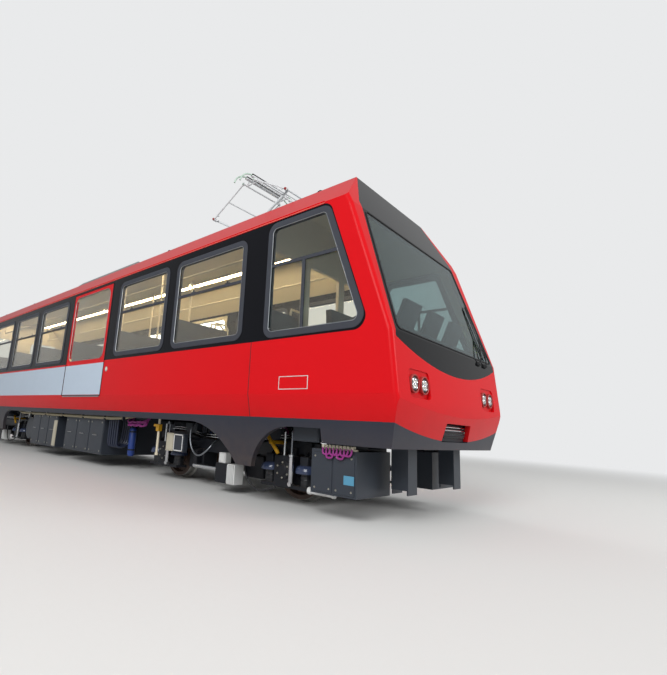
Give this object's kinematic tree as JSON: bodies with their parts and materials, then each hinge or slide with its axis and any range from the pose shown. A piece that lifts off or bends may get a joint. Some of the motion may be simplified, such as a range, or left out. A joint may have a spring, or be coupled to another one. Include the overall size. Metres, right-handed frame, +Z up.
{
  "type": "rack railway motor car",
  "caption": "Rack railway car with a raked cab, hollow saloon with glazed sides, yawing bogies, free-turning rack wheelsets and a folding diamond pantograph.",
  "frame": {"origin": "under the middle of the car, level with the foot of the wheel flanges", "axes": "+X towards the cab, +Y to the car's left, +Z up"},
  "size_m": [13.9, 2.616, 4.607],
  "materials": {
    "red_paint": "gloss",
    "grey_paint": "satin",
    "black_gloss": "gloss",
    "rubber_grey": "matte",
    "tinted_glass": "clear",
    "lamp_glass": "clear",
    "bogie_steel": "satin",
    "wheel_steel": "worn",
    "frame_grey": "satin",
    "seat_plastic": "matte",
    "interior_white": "satin",
    "panto_alloy": "bright",
    "roof_grey": "satin"
  },
  "bodies": {
    "car_body": {"underframe": "frame_grey", "cab_shell": "red_paint", "windshield_surround": "black_gloss", "windshield": "tinted_glass", "headlights": "lamp_glass", "front_skirt": "grey_paint", "roof": "red_paint", "rear_wall": "red_paint", "rear_windows": "tinted_glass", "saloon_fittings": "seat_plastic", "cab_partition": "interior_white", "driver_place": "seat_plastic", "front_coupler": "frame_grey", "rear_coupler": "bogie_steel", "underfloor_equipment": "frame_grey", "rail_guards": "frame_grey", "roof_resistor": "roof_grey", "panto_base": "roof_grey", "side_panel_right": "red_paint", "side_panel_left": "red_paint", "window_band_right": "black_gloss", "window_band_left": "black_gloss", "window_frames_right": "rubber_grey", "window_frames_left": "rubber_grey", "window_glass_right": "tinted_glass", "window_glass_left": "tinted_glass", "door_right": "red_paint", "door_left": "red_paint", "skirt_right": "grey_paint", "skirt_left": "grey_paint"},
    "bogie_front": {"bogie_frame_front": "bogie_steel", "bogie_gear_front": "bogie_steel", "drive_units_front": "bogie_steel"},
    "wheelset_front_1": {"wheelset_front_1": "wheel_steel"},
    "wheelset_front_2": {"wheelset_front_2": "wheel_steel"},
    "bogie_rear": {"bogie_frame_rear": "bogie_steel", "bogie_gear_rear": "bogie_steel", "drive_units_rear": "bogie_steel"},
    "wheelset_rear_1": {"wheelset_rear_1": "wheel_steel"},
    "wheelset_rear_2": {"wheelset_rear_2": "wheel_steel"},
    "panto_lower_front": {"panto_lower_front": "panto_alloy"},
    "panto_lower_rear": {"panto_lower_rear": "panto_alloy"},
    "panto_upper_front": {"panto_upper_front": "panto_alloy"},
    "panto_upper_rear": {"panto_upper_rear": "panto_alloy"},
    "panto_head": {"panto_head": "panto_alloy"}
  },
  "joints": [
    {"name": "bogie_front_yaw", "type": "hinge", "parent": "car_body", "child": "bogie_front", "pos_m": [4.235, 0, 0.56], "axis": [0, 0, 1], "range_deg": [-4, 4]},
    {"name": "wheelset_front_1_spin", "type": "hinge", "parent": "bogie_front", "child": "wheelset_front_1", "pos_m": [5.38, 0, 0.357], "axis": [0, 1, 0], "continuous": true},
    {"name": "wheelset_front_2_spin", "type": "hinge", "parent": "bogie_front", "child": "wheelset_front_2", "pos_m": [3.09, 0, 0.357], "axis": [0, 1, 0], "continuous": true},
    {"name": "bogie_rear_yaw", "type": "hinge", "parent": "car_body", "child": "bogie_rear", "pos_m": [-4.24, 0, 0.56], "axis": [0, 0, 1], "range_deg": [-4, 4]},
    {"name": "wheelset_rear_1_spin", "type": "hinge", "parent": "bogie_rear", "child": "wheelset_rear_1", "pos_m": [-3.095, 0, 0.357], "axis": [0, 1, 0], "continuous": true},
    {"name": "wheelset_rear_2_spin", "type": "hinge", "parent": "bogie_rear", "child": "wheelset_rear_2", "pos_m": [-5.385, 0, 0.357], "axis": [0, 1, 0], "continuous": true},
    {"name": "panto_raise", "type": "hinge", "parent": "car_body", "child": "panto_lower_front", "pos_m": [4.08, 0, 3.707], "axis": [0, -1, 0], "range_deg": [-26.5, 29.5]},
    {"name": "panto_lower_rear_turn", "type": "hinge", "parent": "car_body", "child": "panto_lower_rear", "pos_m": [3.84, 0, 3.707], "axis": [0, 1, 0], "range_deg": [-26.5, 29.5]},
    {"name": "panto_knee_front", "type": "hinge", "parent": "panto_lower_front", "child": "panto_upper_front", "pos_m": [4.75, 0, 4.102], "axis": [0, 1, 0], "range_deg": [-53, 59]},
    {"name": "panto_knee_rear", "type": "hinge", "parent": "panto_lower_rear", "child": "panto_upper_rear", "pos_m": [3.17, 0, 4.102], "axis": [0, -1, 0], "range_deg": [-53, 59]},
    {"name": "panto_head_level", "type": "hinge", "parent": "panto_upper_front", "child": "panto_head", "pos_m": [4.08, 0, 4.497], "axis": [0, -1, 0], "range_deg": [-26.5, 29.5]}
  ],
  "couplings": [
    {"joint": "panto_lower_rear_turn", "follows": "panto_raise", "ratio": 1},
    {"joint": "panto_knee_front", "follows": "panto_raise", "ratio": 2},
    {"joint": "panto_knee_rear", "follows": "panto_raise", "ratio": 2},
    {"joint": "panto_head_level", "follows": "panto_raise", "ratio": 1}
  ]
}
